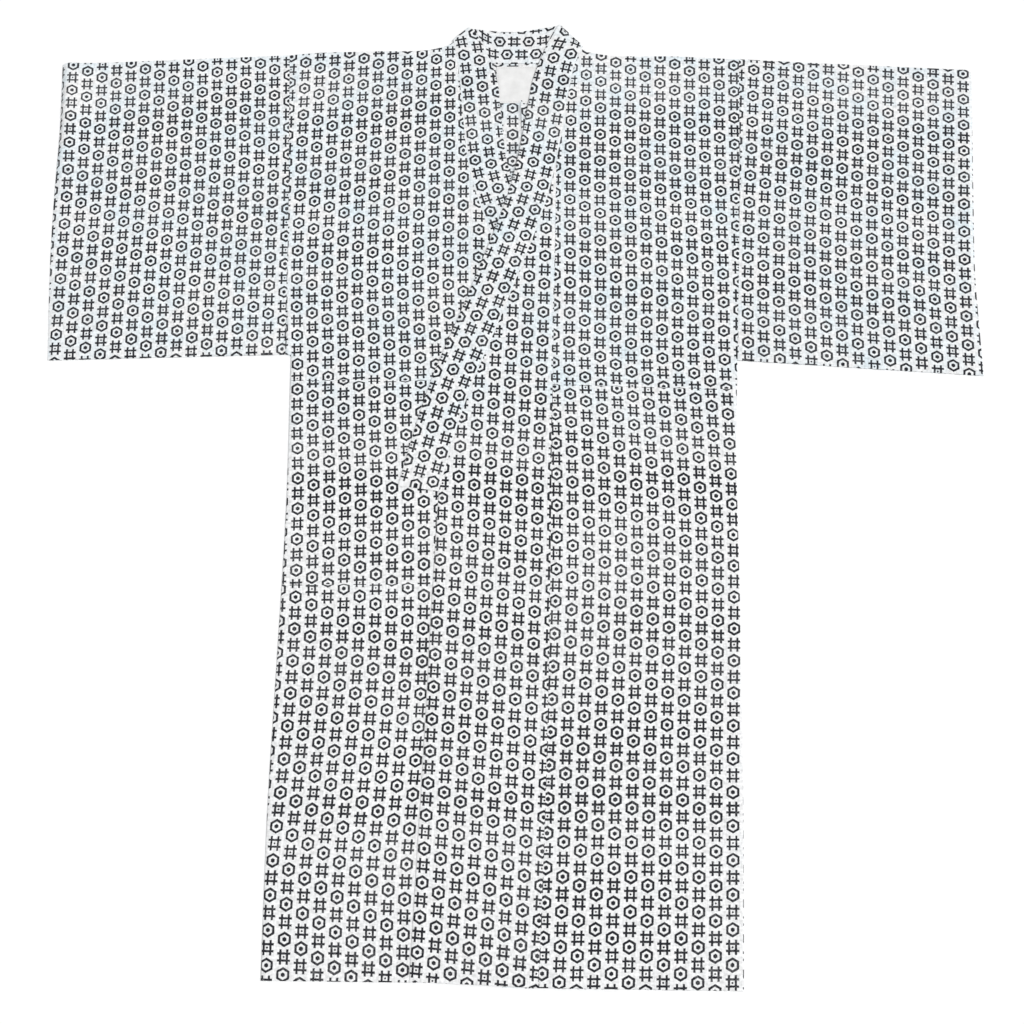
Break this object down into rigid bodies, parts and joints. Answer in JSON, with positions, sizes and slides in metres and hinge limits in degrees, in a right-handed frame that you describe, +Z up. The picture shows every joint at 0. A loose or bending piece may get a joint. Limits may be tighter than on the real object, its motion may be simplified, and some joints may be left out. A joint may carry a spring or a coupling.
{
  "type": "cotton yukata robe",
  "caption": "Light cotton robe laid flat, front up and left front over right, with square sleeves, straight panels and a long band collar, in white cloth with a close dark repeat.",
  "frame": {"origin": "centre of the laid robe's outline, on the surface that it lies on", "axes": "+Z up from the surface to the robe's front, +Y from the hem to the collar, +X to the wearer's left"},
  "size_m": [1.3979, 1.4316, 0.0067],
  "materials": {
    "printed_cotton": "matt plain-weave white cotton with a close near-black geometric repeat",
    "label_cotton": "matt plain-weave pale cotton, blank",
    "sewing_thread": "matt white cotton thread"
  },
  "bodies": {
    "root": {"body_left": "printed_cotton", "body_right": "printed_cotton", "okumi_left": "printed_cotton", "okumi_right": "printed_cotton", "sleeve_left": "printed_cotton", "sleeve_right": "printed_cotton", "collar": "printed_cotton", "neck_label": "label_cotton"}
  },
  "joints": []
}
